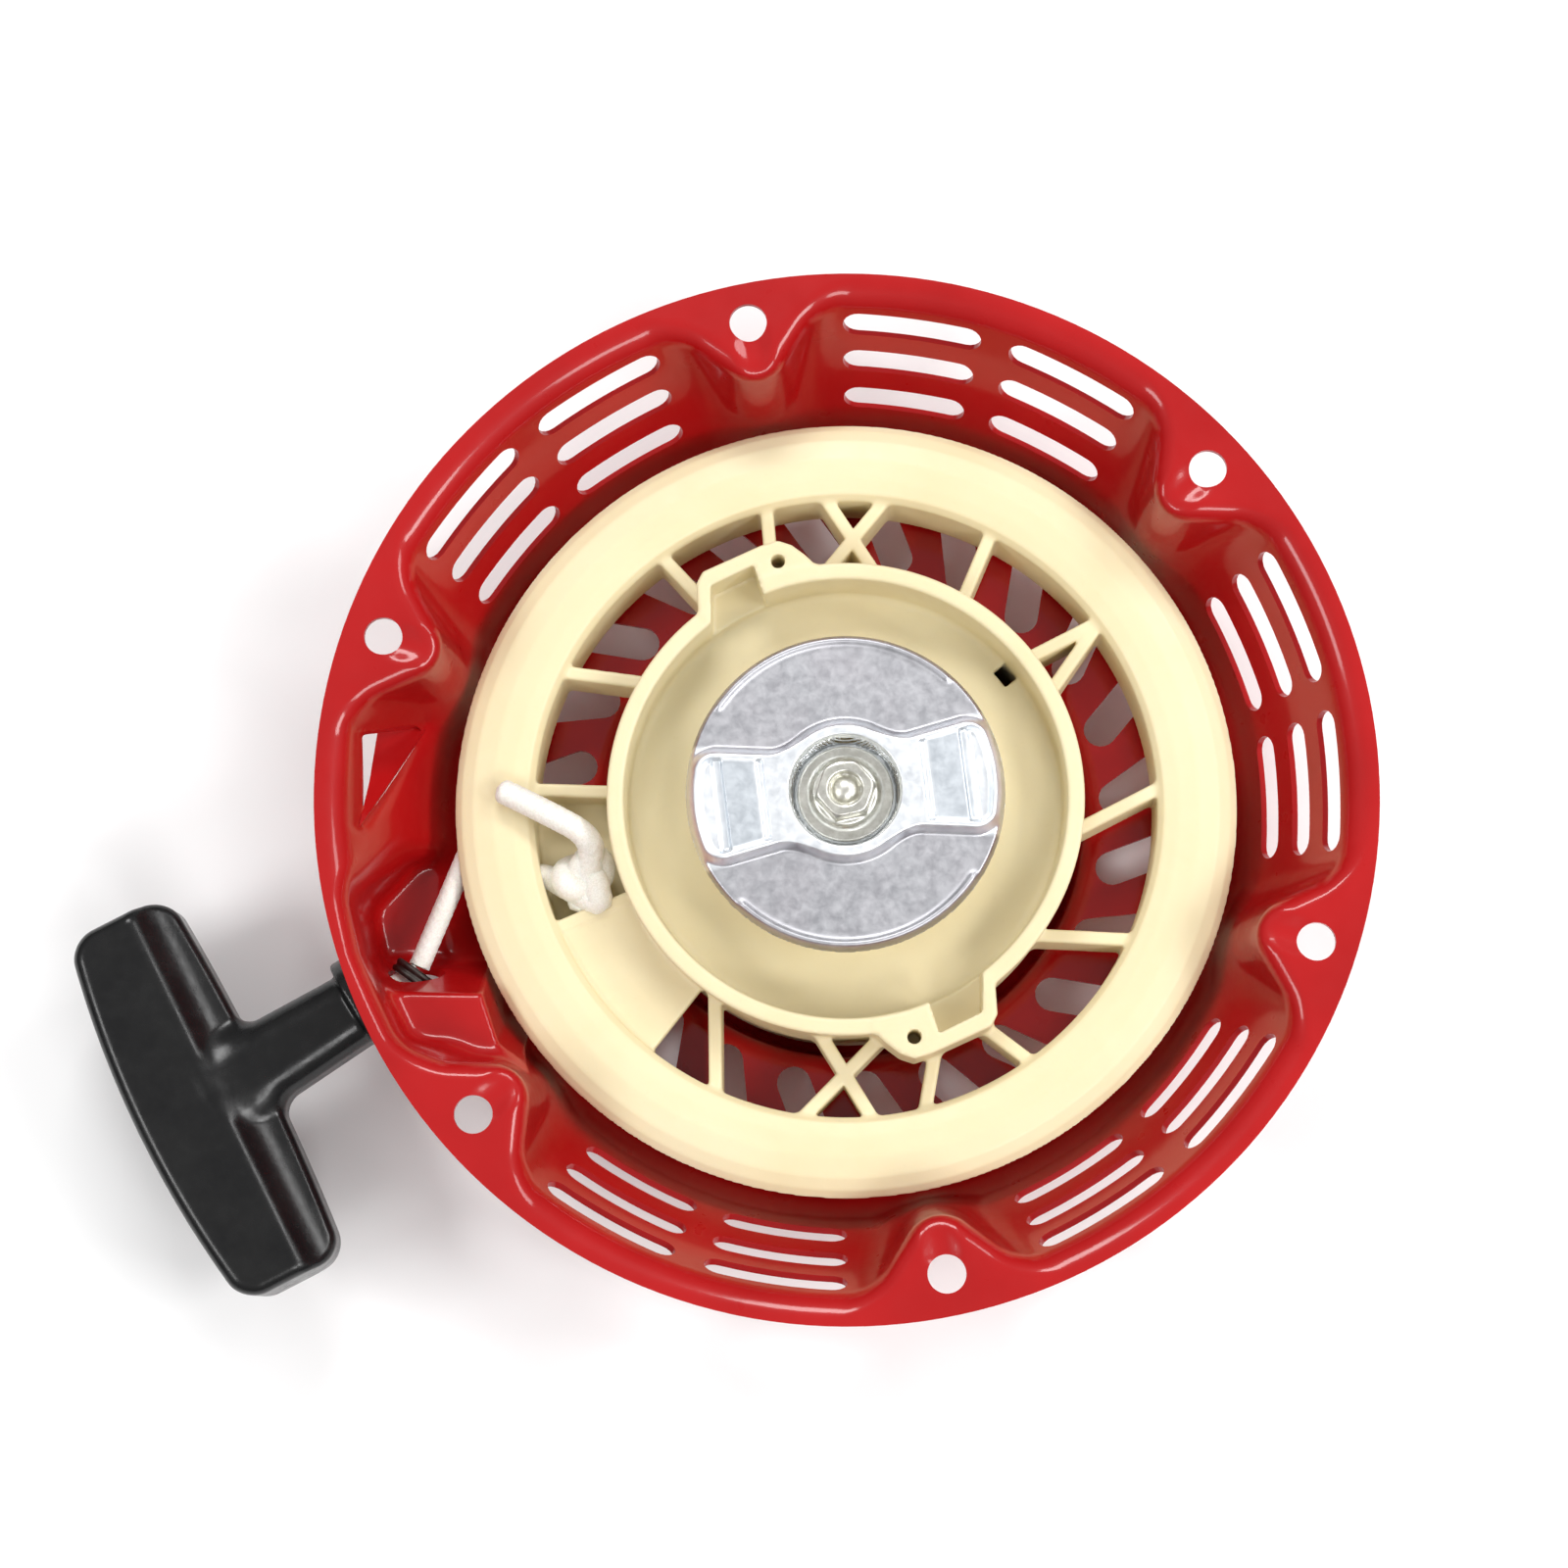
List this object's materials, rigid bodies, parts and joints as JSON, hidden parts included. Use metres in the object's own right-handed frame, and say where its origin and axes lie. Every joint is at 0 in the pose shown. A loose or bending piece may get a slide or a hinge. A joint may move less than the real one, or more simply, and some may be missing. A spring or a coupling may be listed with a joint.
{
  "type": "recoil starter",
  "caption": "Round slotted dish housing with bolt pads, a sprung rope reel inside, a guide plate with pawls, and a T-shaped pull grip on a rope.",
  "frame": {"origin": "centre of the circle of bolt holes, on the mounting face that meets the engine", "axes": "+Z along the reel's axis, out of the open side towards the engine; the grip lies towards -X and -Y"},
  "size_m": [0.3, 0.2406, 0.0615],
  "materials": {
    "housing_paint": "glossy red stoved paint",
    "steel": "bright steel",
    "screw_steel": "zinc plated, faintly yellow",
    "spring_steel": "oiled spring steel",
    "rope": "white braided nylon",
    "reel_plastic": "cream moulded nylon, satin",
    "guide_zinc": "bright zinc plate",
    "pawl_steel": "dark sintered steel",
    "grip_rubber": "black moulded, semi-gloss"
  },
  "bodies": {
    "housing": {"housing": "housing_paint", "centre_post": "steel", "rope_eyelet": "pawl_steel", "setting_screw": "screw_steel", "friction_spring": "spring_steel", "rope_lead": "rope"},
    "reel": {"reel": "reel_plastic", "rope_winding": "rope", "rope_knot": "rope", "main_spring": "spring_steel", "pawl_pin_a": "steel", "pawl_pin_b": "steel", "pawl_spring_a": "spring_steel", "pawl_spring_b": "spring_steel"},
    "guide": {"guide_plate": "guide_zinc"},
    "pawl_a": {"pawl_a": "pawl_steel"},
    "pawl_b": {"pawl_b": "pawl_steel"},
    "grip": {"grip": "grip_rubber", "rope_grip_end": "rope", "grip_knot": "rope"}
  },
  "joints": [
    {"name": "reel_spin", "type": "hinge", "parent": "housing", "child": "reel", "pos_m": [0, 0, -0.03], "axis": [0, 0, 1], "range_deg": [0, 990], "stiffness_Nm_per_rad": 0.04, "springref_deg": -458.37, "deforming": ["main_spring"]},
    {"name": "guide_turn", "type": "hinge", "parent": "reel", "child": "guide", "pos_m": [0, 0, -0.0057], "axis": [0, 0, 1], "range_deg": [-25, 0], "stiffness_Nm_per_rad": 0.02, "springref_deg": 11.46},
    {"name": "pawl_a_swing", "type": "hinge", "parent": "reel", "child": "pawl_a", "pos_m": [0.01828, -0.01705, -0.0134], "axis": [0, 0, 1], "range_deg": [-30, 0]},
    {"name": "pawl_b_swing", "type": "hinge", "parent": "reel", "child": "pawl_b", "pos_m": [-0.01828, 0.01705, -0.0134], "axis": [0, 0, 1], "range_deg": [-30, 0]},
    {"name": "handle_pull", "type": "slide", "parent": "housing", "child": "grip", "axis": [-0.8526, -0.5225, 0], "range_m": [0, 1.35]}
  ],
  "couplings": [
    {"joint": "pawl_a_swing", "follows": "guide_turn", "ratio": 1.2},
    {"joint": "pawl_b_swing", "follows": "guide_turn", "ratio": 1.2},
    {"joint": "handle_pull", "follows": "reel_spin", "m_per_rad": 0.0781}
  ]
}
